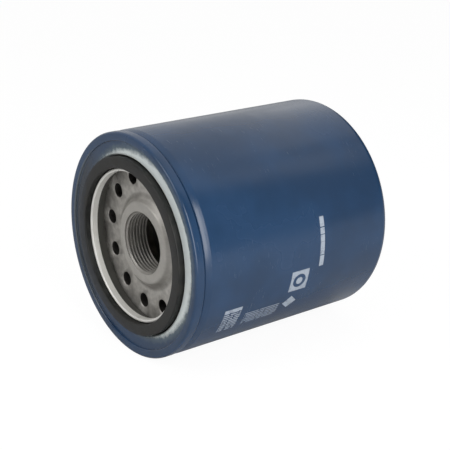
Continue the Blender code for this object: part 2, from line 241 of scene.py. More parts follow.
def coil_mesh(section, radius_at, station_at, turns, steps_per_turn):
    """A section of (outward, along) offsets swept along a right-hand helix."""
    bm = bmesh.new()
    steps = round(turns * steps_per_turn)
    rings = []
    for i in range(steps + 1):
        share = i / steps
        angle = -2 * math.pi * turns * share
        radius, station = radius_at(share), station_at(share)
        rings.append([bm.verts.new(at(radius + out, angle, station + along)) for out, along in section])
    for ring, following in zip(rings, rings[1:]):
        for k in range(len(section)):
            after = (k + 1) % len(section)
            bm.faces.new((ring[k], ring[after], following[after], following[k]))
    bm.faces.new(rings[0])
    bm.faces.new(rings[-1][::-1])
    return bm


def ribbon_mesh(line, thickness, low, high):
    """A strip standing on edge along a plan line, from one station to another."""
    left, right = both_sides(line, thickness)
    bm = bmesh.new()
    rungs = []
    for a, b in zip(left, right):
        rung = []
        for point, station in ((a, low), (b, low), (b, high), (a, high)):
            rung.append(bm.verts.new(at(point.length, math.atan2(point.y, point.x), station)))
        rungs.append(rung)
    for rung, following in zip(rungs, rungs[1:]):
        for k in range(4):
            bm.faces.new((rung[k], rung[(k + 1) % 4], following[(k + 1) % 4], following[k]))
    bm.faces.new(rungs[0])
    bm.faces.new(rungs[-1][::-1])
    return bm


def circle(radius, points=32):
    turns = [2 * math.pi * k / points for k in range(points)]
    return [Vector((radius * math.cos(a), radius * math.sin(a))) for a in turns]


def add_drill(bm, section, foot, direction, steps):
    """Adds a prism with this section. A step is a distance from the foot and the section's scale there."""
    turn = direction.to_track_quat("Z", "Y")
    rings = []
    for distance, scale in steps:
        middle = foot + direction * distance * MM
        rings.append([bm.verts.new(middle + turn @ point.to_3d() * scale * MM) for point in section])
    for ring, following in zip(rings, rings[1:]):
        for k in range(len(section)):
            after = (k + 1) % len(section)
            bm.faces.new((ring[k], ring[after], following[after], following[k]))
    bm.faces.new(rings[0])
    bm.faces.new(rings[-1][::-1])


def cut_out(target, name, bm):
    """Takes a cutter's shape out of the target for good."""
    bmesh.ops.recalc_face_normals(bm, faces=bm.faces)
    mesh = bpy.data.meshes.new(name)
    bm.to_mesh(mesh)
    bm.free()
    cutter = bpy.data.objects.new(name, mesh)
    bpy.context.scene.collection.objects.link(cutter)
    boolean = target.modifiers.new(name, "BOOLEAN")
    boolean.operation = "DIFFERENCE"
    boolean.object = cutter
    evaluated = target.evaluated_get(bpy.context.evaluated_depsgraph_get())
    target.data = bpy.data.meshes.new_from_object(evaluated)
    target.modifiers.clear()
    bpy.data.objects.remove(cutter)


# ---------------------------------------------------------------- node shorthand


class Nodes:
    """Shorthand for a node tree. Every value may be a number, a colour or another node's output."""

    def __init__(self, tree):
        self.tree = tree

    def node(self, kind, settings=None, inputs=()):
        made = self.tree.nodes.new("ShaderNode" + kind)
        for key, value in (settings or {}).items():
            setattr(made, key, value)
        pairs = inputs.items() if isinstance(inputs, dict) else enumerate(inputs)
        for key, value in pairs:
            self.feed(made.inputs[key], value)
        return made

    def feed(self, socket, value):
        if isinstance(value, bpy.types.NodeSocket):
            self.tree.links.new(value, socket)
        elif value is not None:
            socket.default_value = value

    def math(self, operation, *values, clamp=False):
        return self.node("Math", {"operation": operation, "use_clamp": clamp}, values).outputs[0]

    def distance(self, across, along):
        squares = [self.math("POWER", value, 2.0) for value in (across, along)]
        return self.math("SQRT", self.math("ADD", *squares))

    def vector(self, operation, *values):
        return self.node("VectorMath", {"operation": operation}, values).outputs[0]

    def combine(self, x, y, z):
        return self.node("CombineXYZ", {}, (x, y, z)).outputs[0]

    def noise(self, scale, detail=3.0, roughness=0.5, place=None, stretch=None):
        place = place or self.place
        if stretch:
            place = self.vector("MULTIPLY", place, stretch)
        inputs = {"Vector": place, "Scale": scale, "Detail": detail, "Roughness": roughness}
        return self.node("TexNoise", {"noise_dimensions": "3D"}, inputs).outputs["Fac"]

    def ramp(self, value, low, high, to_low=0.0, to_high=1.0):
        """Value low gives to_low and high gives to_high, eased in between and held outside."""
        inputs = {"Value": value, "From Min": low, "From Max": high, "To Min": to_low, "To Max": to_high}
        settings = {"interpolation_type": "SMOOTHSTEP"}
        return self.node("MapRange", settings, inputs).outputs[0]

    def band(self, value, low, high, soft):
        """1 between low and high, and 0 outside, with soft edges."""
        rise = self.ramp(value, low - soft, low + soft)
        fall = self.ramp(value, high - soft, high + soft, 1.0, 0.0)
        return self.math("MULTIPLY", rise, fall)

    def mix(self, factor, first, second):
        """Two colours mixed. The Mix node's colour sockets are numbers 6 and 7."""
        made = self.node("Mix", {"data_type": "RGBA"})
        self.feed(made.inputs[0], factor)
        self.feed(made.inputs[6], first if isinstance(first, bpy.types.NodeSocket) else (*first, 1))
        self.feed(made.inputs[7], second if isinstance(second, bpy.types.NodeSocket) else (*second, 1))
        return made.outputs[2]

    def blend(self, factor, first, second):
        """Two numbers mixed. The Mix node's number sockets are 2 and 3."""
        made = self.node("Mix", {"data_type": "FLOAT"})
        for key, value in ((0, factor), (2, first), (3, second)):
            self.feed(made.inputs[key], value)
        return made.outputs[0]

    def blend_normals(self, factor, first, second):
        """Two normals mixed. The Mix node's vector sockets are numbers 4 and 5."""
        made = self.node("Mix", {"data_type": "VECTOR"})
        for key, value in ((0, factor), (4, first), (5, second)):
            self.feed(made.inputs[key], value)
        return made.outputs[1]

    def bump(self, height, strength, distance_mm, normal=None):
        inputs = {"Height": height, "Strength": strength, "Distance": distance_mm * MM}
        made = self.node("Bump", {}, inputs)
        if normal is not None:
            self.feed(made.inputs["Normal"], normal)
        return made.outputs[0]


class Look(Nodes):
    """A material, with its place on the filter in millimetres: radius, angle and station."""

    def __init__(self, name):
        self.material = bpy.data.materials.new(name)
        self.material.use_nodes = True
        super().__init__(self.material.node_tree)
        self.principled = self.tree.nodes["Principled BSDF"]
        self.place = self.vector("MULTIPLY", self.node("TexCoord").outputs["Object"], (1000, 1000, 1000))
        self.x, y, self.z = self.node("SeparateXYZ", {}, [self.place]).outputs
        self.radius = self.distance(self.x, self.z)
        self.angle = self.math("ARCTAN2", self.z, self.x)
        self.degrees = self.math("MULTIPLY", self.angle, 180 / math.pi)
        self.station = self.math("SUBTRACT", y, SEALING_Y / MM)

    def surface(self, **values):
        """Sets the Principled shader's inputs. Underscores in the names stand for spaces."""
        for key, value in values.items():
            if isinstance(value, tuple) and len(value) == 3:
                value = (*value, 1)
            self.feed(self.principled.inputs[key.replace("_", " ").title()], value)
        return self.material


def wrapped(look, scale_around, scale_along, scale_in=1.0):
    """Coordinates unrolled round the axis, so that marks run round it or along it."""
    around = look.math("MULTIPLY", look.math("SINE", look.angle), scale_around)
    around_too = look.math("MULTIPLY", look.math("COSINE", look.angle), scale_around)
    along = look.math("MULTIPLY", look.station, scale_along)
    inward = look.math("MULTIPLY", look.radius, scale_in)
    return look.combine(around, look.math("ADD", along, inward), around_too)


# ---------------------------------------------------------------- materials


BLUE = (0.0135, 0.043, 0.102)
SCUFFED_BLUE = (0.2, 0.24, 0.3)
THIN_BLUE = (0.085, 0.125, 0.15)
# Painted shade for the ring's far (-X) side
FAR_SIDE_SHADE = (0.028, 0.032, 0.034)
# Painted highlight for the chuck wall's face on the -X side
CHUCK_WALL_HIGHLIGHT = (0.15, 0.165, 0.17)
INK = (0.42, 0.47, 0.54)
ZINC_DARK = (0.72, 0.78, 0.78)
ZINC_LIGHT = (0.86, 0.92, 0.91)
ZINC_LIP = (0.82, 0.81, 0.77)
ZINC_STAIN = (0.62, 0.61, 0.56)
# Painted shade for the channel wall under the lip's hem
SHADE_UNDER_HEM = (0.035, 0.034, 0.028)
RUBBER_DARK = (0.008, 0.0085, 0.008)
RUBBER_LIGHT = (0.021, 0.0205, 0.0185)
RUBBER_DUST = (0.09, 0.085, 0.075)
PLATE_DARK = (0.4, 0.385, 0.36)
PLATE_LIGHT = (0.58, 0.56, 0.525)
PLATE_SPECK = (0.15, 0.13, 0.11)
PLATE_COLLAR = (0.4, 0.385, 0.355)
# Painted shade round the collar's foot
PLATE_CORNER_SHADE = (0.13, 0.12, 0.105)
# Painted shade in the threaded bore
PLATE_BORE_SHADE = (0.16, 0.15, 0.135)
# Painted shade in the inlet holes
PLATE_HOLE_SHADE = (0.02, 0.018, 0.016)
PAPER_DARK = (0.55, 0.4, 0.2)
PAPER_LIGHT = (0.78, 0.62, 0.36)
PAPER_BLOTCH = (0.45, 0.3, 0.14)

# The mask that kept the sealing face bare: its edge, and how far and which way it was off centre
MASK_RADIUS = 37.7
MASK_OFFSET = 5.0
MASK_DIRECTION = 25


# Printing, as stations in millimetres and degrees round the axis
TICK_ROW = ((62.9, 65.1), (-11, 15))
PICTOGRAM = ((49.0, 58.0), (-22.5, -10.5))
DIAMOND = (52.0, -30.5)
LOWER_BLOCK = ((17.5, 26.0), (-39, -24))
UPPER_BLOCK = ((29.0, 46.5), (-38, -29))
SOLID_BAR = ((17.5, 26.0), (-24.6, -22.6))
LINE_PITCH = 3.0


def patch(look, limits, soft, soft_degrees):
    """1 inside a rectangle on the can's side, given by its stations and its degrees round the axis."""
    along, around = limits
    inside = look.band(look.station, *along, soft)
    return look.math("MULTIPLY", inside, look.band(look.degrees, *around, soft_degrees))


def off_centre(look, station, degrees):
    """Distances from a point on the can's side, along it and round it."""
    along = look.math("SUBTRACT", look.station, station)
    around = look.math("MULTIPLY", look.math("SUBTRACT", look.degrees, degrees), CAN_RADIUS * math.pi / 180)
    return along, around


def tick_marks(look):
    ticks = look.ramp(look.noise(1.1, 1.0, 0.5, look.combine(look.degrees, 0.0, 0.0)), 0.36, 0.42)
    return look.math("MULTIPLY", patch(look, TICK_ROW, 0.12, 0.3), ticks)


def pictogram_mark(look):
    """A square with a ring left out of it."""
    middle = [(low + high) / 2 for low, high in PICTOGRAM]
    reach = look.distance(*off_centre(look, *middle))
    outside = look.ramp(reach, 3.1, 3.35)
    core = look.ramp(reach, 1.5, 1.75, 1.0, 0.0)
    return look.math("MULTIPLY", patch(look, PICTOGRAM, 0.12, 0.15), look.math("MAXIMUM", outside, core))


def diamond_mark(look):
    along, around = off_centre(look, *DIAMOND)
    reach = look.math("ADD", look.math("ABSOLUTE", along), look.math("ABSOLUTE", around))
    return look.ramp(reach, 3.4, 3.7, 1.0, 0.0)


def bar_blocks(look):
    """Two blocks of short bars in lines, and one solid bar beside them."""
    lines = look.band(look.math("PINGPONG", look.degrees, LINE_PITCH / 2), 0.35, 1.15, 0.08)
    line_number = look.math("FLOOR", look.math("DIVIDE", look.degrees, LINE_PITCH))
    place = look.combine(look.station, line_number, 0.0)
    bars = look.math("MULTIPLY", lines, look.ramp(look.noise(0.9, 0.0, 0.5, place), 0.34, 0.38))
    lower = patch(look, LOWER_BLOCK, 0.15, 0.2)
    upper = look.math("MULTIPLY", patch(look, UPPER_BLOCK, 0.15, 0.2), 0.7)
    blocks = look.math("MULTIPLY", bars, look.math("MAXIMUM", lower, upper))
    return look.math("MAXIMUM", blocks, patch(look, SOLID_BAR, 0.15, 0.1))


def printed_marks(look):
    """Generic printing on the can: ticks in a row, two plain pictograms and two blocks of short bars."""
    marks = look.math("MAXIMUM", tick_marks(look), pictogram_mark(look))
    marks = look.math("MAXIMUM", marks, diamond_mark(look))
    return look.math("MAXIMUM", marks, bar_blocks(look))


def scaled(colour, factor):
    return tuple(channel * factor for channel in colour)


def enamel(look):
    """Colour, roughness and bump of the can's blue paint, shared by the can and the seam."""
    cloud = look.noise(0.035, 3, 0.55)
    speck = look.noise(1.3, 2, 0.6)
    tone = look.mix(look.ramp(cloud, 0.35, 0.65), scaled(BLUE, 0.86), scaled(BLUE, 1.12))
    tone = look.mix(look.ramp(speck, 0.6, 0.75, 0.0, 0.25), tone, scaled(BLUE, 1.5))
    scratches = look.noise(1.0, 3, 0.6, wrapped(look, 9.0, 2.4))
    scuff = look.ramp(scratches, 0.64, 0.7)
    scuff = look.math("MULTIPLY", scuff, look.ramp(look.noise(0.06, 2), 0.45, 0.7))
    tone = look.mix(look.math("MULTIPLY", scuff, 0.2), tone, SCUFFED_BLUE)
    roughness = look.math("ADD", look.ramp(cloud, 0.3, 0.7, 0.2, 0.28), look.math("MULTIPLY", scuff, 0.12))
    peel = look.bump(look.noise(0.9, 2, 0.5), 0.18, 0.05)
    return tone, roughness, look.bump(look.noise(0.08, 1, 0.5), 0.25, 0.6, peel)


def blue_enamel():
    """The can's paint, with its worn printing."""
    look = Look("blue_enamel")
    tone, roughness, bump = enamel(look)
    ink = printed_marks(look)
    worn = look.ramp(look.noise(0.5, 4, 0.65), 0.3, 0.5, 0.35, 0.85)
    tone = look.mix(look.math("MULTIPLY", ink, worn), tone, INK)
    return look.surface(
        base_color=tone,
        roughness=look.blend(ink, roughness, 0.45),
        metallic=0.0,
        normal=bump,
    )


def overspray(look):
    """How far paint covers the sealing face, and how thick it is. An off-centre mask kept the rest bare."""
    turn = math.radians(MASK_DIRECTION)
    across = look.math("SUBTRACT", look.x, MASK_OFFSET * math.cos(turn))
    up = look.math("SUBTRACT", look.z, MASK_OFFSET * math.sin(turn))
    ragged = look.ramp(look.noise(0.35, 4, 0.7), 0.3, 0.7, -0.5, 0.5)
    reach = look.math("ADD", look.distance(across, up), ragged)
    covered = look.ramp(reach, MASK_RADIUS - 1.2, MASK_RADIUS + 1.4)
    return covered, look.ramp(reach, MASK_RADIUS, MASK_RADIUS + 3.8)


def zinc(look):
    """Colour, roughness and bump of bare zinc-plated sheet, dulled by handling."""
    grain = look.noise(1.0, 4, 0.6, wrapped(look, 2.0, 9.0, 9.0))
    stain = look.noise(0.11, 3, 0.6)
    tone = look.mix(look.ramp(grain, 0.3, 0.7), ZINC_DARK, ZINC_LIGHT)
    lip = look.ramp(look.radius, 32.5, 33.5, 1.0, 0.0)
    tone = look.mix(lip, tone, ZINC_LIP)
    tone = look.mix(look.ramp(stain, 0.5, 0.75, 0.0, 0.35), tone, ZINC_STAIN)
    roughness = look.ramp(grain, 0.3, 0.7, 0.42, 0.55)
    return tone, roughness, look.bump(grain, 0.12, 0.05)


def painted_retainer():
    """Bare zinc where the sealing face was masked, blue paint over the rolled seam."""
    look = Look("painted_retainer")
    blue, blue_roughness, blue_bump = enamel(look)
    bare, bare_roughness, bare_bump = zinc(look)
    beyond_gasket = look.ramp(look.radius, GASKET_OUTER, GASKET_OUTER + 0.3)
    covered, thick = overspray(look)
    blue = look.mix(thick, THIN_BLUE, blue)
    inner_wall = look.band(look.radius, CHUCK_WALL_RADIUS - 0.3, CHUCK_WALL_RADIUS + 0.5, 0.2)
    far_side = look.ramp(look.x, -36.0, -18.0, 1.0, 0.0)
    # Painted shade: on the -X side, away from the right-hand lamp, the painted ring just inside the chuck
    # wall is darkened
    far_side_shade = look.math("MULTIPLY", far_side, look.ramp(look.radius, 41.8, 42.8, 0.8, 0.0))
    blue = look.mix(far_side_shade, blue, FAR_SIDE_SHADE)
    # Painted highlight: on the -X side the chuck wall's inner face, which faces the lamp, is lightened to
    # pale grey
    wall_highlight = look.math("MULTIPLY", inner_wall, look.math("MULTIPLY", far_side, 0.7))
    blue = look.mix(wall_highlight, blue, CHUCK_WALL_HIGHLIGHT)
    paint = look.math("MULTIPLY", covered, beyond_gasket)
    # Painted shade: the channel wall below the hem, where shade falls, is darkened to near black and made
    # non-metallic
    under_hem = look.ramp(look.station, LIP_TOP + HEM_DEPTH, LIP_TOP + HEM_DEPTH + 0.6)
    hem_shade = look.math("MULTIPLY", under_hem, look.ramp(look.radius, 33.0, 34.5, 0.96, 0.0))
    bare = look.mix(hem_shade, bare, SHADE_UNDER_HEM)
    return look.surface(
        base_color=look.mix(paint, bare, blue),
        roughness=look.blend(paint, bare_roughness, blue_roughness),
        metallic=look.ramp(look.math("MAXIMUM", paint, hem_shade), 0.0, 1.0, 0.4, 0.0),
        normal=look.blend_normals(paint, bare_bump, blue_bump),
    )


def gasket_rubber():
    """Moulded black rubber with faint rings, some dust and a trace of overspray."""
    look = Look("gasket_rubber")
    look.feed(look.principled.inputs["Specular IOR Level"], 0.4)
    mottle = look.noise(0.25, 4, 0.6)
    tone = look.mix(look.ramp(mottle, 0.35, 0.7), RUBBER_DARK, RUBBER_LIGHT)
    dust = look.ramp(look.noise(2.6, 3, 0.7), 0.62, 0.78, 0.0, 0.3)
    tone = look.mix(dust, tone, RUBBER_DUST)
    tone = look.mix(look.math("MULTIPLY", overspray(look)[0], 0.12), tone, BLUE)
    fine = look.noise(3.0, 3, 0.6)
    rings = look.math("SINE", look.math("MULTIPLY", look.radius, 9.0))
    bump = look.bump(rings, 0.05, 0.04, look.bump(fine, 0.25, 0.05))
    return look.surface(base_color=tone, roughness=look.ramp(mottle, 0.3, 0.7, 0.38, 0.58), normal=bump)


def plate_steel():
    """Oiled phosphated plate: warm grey, brighter on the worn collar, with painted shade at the collar's
    foot, in the bore and in the inlet holes.
    """
    look = Look("plate_steel")
    mottle = look.noise(0.35, 5, 0.65)
    fine = look.noise(2.4, 3, 0.6)
    tone = look.mix(look.ramp(mottle, 0.3, 0.7), PLATE_DARK, PLATE_LIGHT)
    tone = look.mix(look.ramp(fine, 0.55, 0.8, 0.0, 0.35), tone, PLATE_SPECK)
    collar = look.band(look.radius, THREAD_MINOR + 0.4, COLLAR_BASE - 1.0, 0.8)
    tone = look.mix(look.math("MULTIPLY", collar, 0.6), tone, PLATE_COLLAR)
    # Painted shade in the corner at the collar's foot
    corner = look.band(look.radius, COLLAR_BASE - 0.4, COLLAR_BASE + 1.4, 0.6)
    tone = look.mix(look.math("MULTIPLY", corner, 0.45), tone, PLATE_CORNER_SHADE)
    # Painted shade inside the threaded bore
    bore_shade = look.ramp(look.radius, THREAD_MAJOR, THREAD_MAJOR + 0.4, 1.0, 0.0)
    tone = look.mix(look.math("MULTIPLY", bore_shade, 0.5), tone, PLATE_BORE_SHADE)
    # Painted shade: behind the front face and outside the collar, the plate is darkened to near black, so
    # the inlet holes' walls look black
    in_hole = look.ramp(look.station, PLATE_FRONT + 0.05, PLATE_FRONT + 0.4)
    in_hole = look.math("MULTIPLY", in_hole, look.ramp(look.radius, 22.0, 23.0))
    tone = look.mix(look.math("MULTIPLY", in_hole, 0.9), tone, PLATE_HOLE_SHADE)
    roughness = look.ramp(mottle, 0.3, 0.7, 0.4, 0.56)
    rings = look.noise(1.0, 2, 0.5, wrapped(look, 0.6, 5.0, 5.0))
    bump = look.bump(rings, 0.15, 0.06, look.bump(fine, 0.2, 0.06))
    return look.surface(base_color=tone, roughness=roughness, metallic=0.55, normal=bump)


def pressed_steel(name, dark, light, roughness_low, roughness_high):
    """Bare sheet or wire, mottled between two greys, with patches of dark oil."""
    look = Look(name)
    grain = look.noise(1.0, 4, 0.6, wrapped(look, 1.5, 8.0, 8.0))
    mottle = look.noise(0.3, 4, 0.6)
    tone = look.mix(look.ramp(mottle, 0.3, 0.7), dark, light)
    oil = look.ramp(look.noise(0.09, 2), 0.5, 0.7, 0.0, 0.35)
    tone = look.mix(oil, tone, scaled(dark, 0.5))
    bump = look.bump(grain, 0.15, 0.05)
    roughness = look.ramp(grain, 0.3, 0.7, roughness_low, roughness_high)
    return look.surface(base_color=tone, roughness=roughness, metallic=1.0, normal=bump)


def soft_solid(name, dark, light, roughness, grain_scale, bump_strength):
    """Rubber, potting and sealant: mottled, with a fine surface texture."""
    look = Look(name)
    mottle = look.noise(0.3, 4, 0.6)
    fine = look.noise(grain_scale, 3, 0.6)
    tone = look.mix(look.ramp(mottle, 0.3, 0.7), dark, light)
    bump = look.bump(fine, bump_strength, 0.06)
    low, high = roughness - 0.08, roughness + 0.08
    return look.surface(base_color=tone, roughness=look.ramp(fine, 0.3, 0.7, low, high), normal=bump)


def filter_paper():
    """Resin-treated paper: fibres drawn out along the axis, and darker blotches."""
    look = Look("filter_paper")
    fibres = look.noise(1.0, 5, 0.7, look.place, (3.0, 0.8, 3.0))
    blotch = look.noise(0.12, 3, 0.6)
    tone = look.mix(look.ramp(fibres, 0.3, 0.7), PAPER_DARK, PAPER_LIGHT)
    tone = look.mix(look.ramp(blotch, 0.5, 0.75, 0.0, 0.3), tone, PAPER_BLOTCH)
    bump = look.bump(fibres, 0.5, 0.08)
    return look.surface(base_color=tone, roughness=0.9, normal=bump)


# ---------------------------------------------------------------- pieces


def dress(piece, look, body, slot, *nodes):
    """Gives a new piece its material and its body, and hides the CAD nodes it stands for. Its slot is not
    used.
    """
    piece.data.materials.clear()
    piece.data.materials.append(look)
    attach(piece, body)
    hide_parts(*nodes)
    return piece


def make_can(look):
    """Drawn can: recessed end panel, side wall, necked-in shoulder and the hook inside the rolled seam."""
    half = SHEET / 2
    middle, end = CAN_RADIUS - half, LENGTH - half
    body_wall = CHUCK_WALL_RADIUS + 1.5 * SHEET + GAP
    hook_wall = body_wall + 2 * (SHEET + GAP)
    fold = SEAM_TOP + 2.5 * SHEET + 0.5
    neck = SEAM_BOTTOM + half + 0.35
    corners = [(0, end - END_PANEL_DEPTH, 0), (END_PANEL_RADIUS, end - END_PANEL_DEPTH, 1.2)]
    corners += [(END_PANEL_RADIUS + 1.8, end, 1.4), (middle, end, CAN_CORNER - half)]
    corners += [(middle, SHOULDER + 0.9, 2.0), (middle - 0.25, SHOULDER - 0.3, 1.5)]
    corners += [(middle - 0.65, neck, 0.5)]
    corners += [(body_wall, neck, 0.4), (body_wall, fold, 0.39)]
    corners += [(hook_wall, fold, 0.39), (hook_wall, fold + 1.7, 0)]
    can = finished("can", turned_mesh(sheet(corners, steps=8), FINE))
    return dress(can, look, "housing", "blue_paint", "canister")


def make_retainer(look):
    """Seaming lid: hemmed inner lip, gasket channel, bare ring and the outer layers of the rolled seam."""
    half = SHEET / 2
    hem = LIP_RADIUS + half
    channel_floor = GASKET_HEIGHT + GAP + half
    channel_wall = GASKET_OUTER + GAP + half
    chuck_wall = CHUCK_WALL_RADIUS + half
    cover_hook = chuck_wall + 2 * (SHEET + GAP)
    top, crest = SEAM_TOP + half, RING_TOP + half
    outer, bottom = CAN_RADIUS - half, SEAM_BOTTOM - half
    corners = [(hem, LIP_TOP + HEM_DEPTH, 0), (hem, LIP_TOP + half, 0.39)]
    corners += [(hem + SHEET + GAP, LIP_TOP + half, 0.39), (GASKET_INNER + 0.7, channel_floor, 0.6)]
    corners += [(channel_wall, channel_floor, 0.6), (channel_wall, crest, 0.7)]
    corners += [(chuck_wall, crest, 0.45), (chuck_wall, top, 0.45), (outer, top, 0.75)]
    corners += [(outer, bottom, 0.5), (cover_hook, bottom, 0.4), (cover_hook, SEAM_BOTTOM - 1.8, 0)]
    ring = finished("retainer_ring", turned_mesh(sheet(corners), FINE))
    return dress(ring, look, "housing", "zinc_plate", "retainer")


def make_gasket(look):
    """Moulded ring whose inner side widens towards the lip that holds it."""
    outline = [(GASKET_INNER, 0.0, 0.5), (GASKET_OUTER, 0.0, 0.5), (GASKET_OUTER, GASKET_HEIGHT, 0.3)]
    outline += [(GASKET_INNER + 1.3, GASKET_HEIGHT, 0.3), (GASKET_INNER, LIP_TOP + 0.6, 0.8)]
    ring = finished("gasket_ring", turned_mesh(rounded(outline, closed=True), FINE))
    return dress(ring, look, "housing", "black_rubber", "sealing_gasket")


def thread_cutter():
    """Sixty-degree thread form on a helix, running out through both ends of the neck."""
    start = COLLAR_TOP - 0.3
    length = NECK_END + 1.2 - start
    root = THREAD_MINOR - 0.19
    depth = THREAD_MAJOR - root
    crest = THREAD_PITCH / 16
    slope = depth * math.tan(math.radians(30))
    section = [(0, -crest - slope), (depth, -crest), (depth, crest), (0, crest + slope)]
    turns = length / THREAD_PITCH
    return coil_mesh(section, lambda share: root, lambda share: start + length * share, turns, 48)


def inlet_cutters():
    """Drills with a slight chamfer at the plate's front face."""
    bm = bmesh.new()
    along = Vector((0, 1, 0))
    chamfer = 1 + INLET_CHAMFER / INLET_RADIUS
    steps = [(-1.0, chamfer + 0.35), (0.0, chamfer)]
    steps += [(INLET_CHAMFER, 1.0), (PLATE_THICKNESS + 1, 1.0)]
    for i in range(INLET_COUNT):
        turn = math.radians(INLET_FIRST + 360 * i / INLET_COUNT)
        add_drill(bm, circle(INLET_RADIUS), at(INLET_CIRCLE, turn, PLATE_FRONT), along, steps)
    return bm


def make_plate(look):
    """Thick plate with a raised collar in front, a threaded neck behind and a circle of inlet holes."""
    outline = [(THREAD_MINOR, COLLAR_TOP + 1.0, 0.2), (THREAD_MINOR + 1.0, COLLAR_TOP, 0.3)]
    outline += [(COLLAR_CREST + 2.2, COLLAR_TOP, 1.6), (COLLAR_BASE, PLATE_FRONT, 3.0)]
    outline += [(PLATE_RADIUS, PLATE_FRONT, 0.3), (PLATE_RADIUS, PLATE_BACK, 0.3)]
    outline += [(NECK_RADIUS, PLATE_BACK, 0.4), (NECK_RADIUS, NECK_END, 0.3)]
    outline += [(THREAD_MINOR, NECK_END, 0.2)]
    plate = finished("plate", turned_mesh(rounded(outline, closed=True), FINE))
    cut_out(plate, "thread_cutter", thread_cutter())
    cut_out(plate, "inlet_cutters", inlet_cutters())
    return dress(plate, look, "housing", "phosphated_steel", "tapping_plate")


def make_ring(name, node, look, body, slot, inner, fillet):
    """A plain ring with softened edges, in its CAD node's place."""
    low, high = stations(node)
    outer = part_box(node)[1].x / MM
    outline = [(inner, low, fillet), (outer, low, fillet), (outer, high, fillet), (inner, high, fillet)]
    ring = finished(name, turned_mesh(rounded(outline, closed=True, steps=4), MEDIUM))
    return dress(ring, look, body, slot, node)


# ---------------------------------------------------------------- filter element


def make_end_cap(name, node, look, face, inward):
    """Tray that holds one end of the pleats. Inward is +1 or -1: which way its rim and collar point."""
    floor = face + inward * SHEET / 2
    rim = face + inward * END_CAP_RIM
    inner, outer = COLLAR_INNER + SHEET / 2, END_CAP_RADIUS - SHEET / 2
    corners = [(inner, rim, 0), (inner, floor, 0.6), (outer, floor, 0.8), (outer, rim, 0)]
    cap = finished(name, turned_mesh(sheet(corners), MEDIUM))
    return dress(cap, look, "cartridge", "end_cap_steel", node)


def pleat_line():
    """Plan of the folded paper, with rounded folds: an open strip whose two ends meet at angle 0."""
    pleat = 2 * math.pi / PLEATS
    crest_half, root_half = PLEAT_CREST_SHARE * pleat, PLEAT_ROOT_SHARE * pleat
    points = [(PLEAT_OUTER, crest_half)]
    for i in range(PLEATS):
        if i:
            points += [(PLEAT_OUTER, i * pleat - crest_half), (PLEAT_OUTER, i * pleat + crest_half)]
        root = (i + 0.5) * pleat
        points += [(PLEAT_INNER, root - root_half), (PLEAT_INNER, root + root_half)]
    points += [(PLEAT_OUTER, 2 * math.pi - crest_half)]
    return rounded([(radius * math.cos(a), radius * math.sin(a), 0.55) for radius, a in points], steps=4)


def make_media(look):
    media = finished("pleated_paper", ribbon_mesh(pleat_line(), PAPER, *stations("filter_media")))
    return dress(media, look, "cartridge", "filter_paper", "filter_media")


def make_media_clip(look):
    """Folded metal strip that clamps the two ends of the paper."""
    low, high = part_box("media_clip")
    front, back = low.x / MM, high.x / MM - SHEET / 2
    half_width = high.z / MM - SHEET / 2
    corners = [(front, -half_width, 0), (back, -half_width, 0.5)]
    corners += [(back, half_width, 0.5), (front, half_width, 0)]
    clip = finished("paper_clip", ribbon_mesh(rounded(corners), SHEET, *stations("media_clip")))
    return dress(clip, look, "cartridge", "end_cap_steel", "media_clip")


def tube_hole_cutters():
    """Round drills through the tube's wall, in rows that are offset by half a pitch."""
    first, last = ELEMENT_START + END_CAP_RIM + 2, ELEMENT_END - END_CAP_RIM - 2
    pitch = (last - first) / TUBE_HOLE_ROWS
    bm = bmesh.new()
    for row in range(TUBE_HOLE_ROWS):
        for column in range(TUBE_HOLE_COLUMNS):
            turn = 2 * math.pi * (column + 0.5 * (row % 2)) / TUBE_HOLE_COLUMNS
            foot = at(TUBE_INNER - 3, turn, first + pitch * (row + 0.5))
            add_drill(bm, circle(TUBE_HOLE_RADIUS), foot, outward(turn), [(0, 1), (TUBE_WALL + 5, 1)])
    return bm


def make_centre_tube(look):
    """Tube with rows of round holes that keeps the pleats from collapsing inwards."""
    low, high = ELEMENT_START + SHEET + GAP, ELEMENT_END - SHEET - GAP
    outer = TUBE_INNER + TUBE_WALL
    outline = [(TUBE_INNER, low, 0), (outer, low, 0), (outer, high, 0), (TUBE_INNER, high, 0)]
    tube = finished("perforated_tube", turned_mesh(rounded(outline), MEDIUM))
    cut_out(tube, "tube_hole_cutters", tube_hole_cutters())
    return dress(tube, look, "cartridge", "tube_steel", "centre_tube")


def make_support_spring(look):
    """Conical coil that presses the element towards the tapping plate."""
    low = ELEMENT_END + 2 * GAP + SEAT_THICKNESS + SUPPORT_WIRE
    high = LENGTH - END_PANEL_DEPTH - SHEET - GAP - SUPPORT_WIRE

    def radius_at(share):
        return SUPPORT_COIL_LOW + (SUPPORT_COIL_HIGH - SUPPORT_COIL_LOW) * share

    def station_at(share):
        eased = share * share * (3 - 2 * share)
        return low + (high - low) * (share + eased) / 2

    wire = [tuple(point) for point in circle(SUPPORT_WIRE, 16)]
    spring = finished("conical_spring", coil_mesh(wire, radius_at, station_at, SUPPORT_TURNS, 48), 60)
    dress(spring, look, "housing", "spring_steel", "support_spring")
    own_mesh(spring)


# ---------------------------------------------------------------- valves


def make_bypass_seat(look):
    """Dished plate over the element's closed end, with the bypass hole in its middle."""
    floor = ELEMENT_END + GAP + SEAT_THICKNESS / 2
    rim = SUPPORT_COIL_LOW + SUPPORT_WIRE + 2.2
    corners = [(BYPASS_HOLE, floor, 0), (rim, floor, 0.8), (rim, floor + 2.0, 0)]
    seat = finished("valve_seat", turned_mesh(sheet(corners, SEAT_THICKNESS), MEDIUM))
    return dress(seat, look, "cartridge", "end_cap_steel", "bypass_seat")


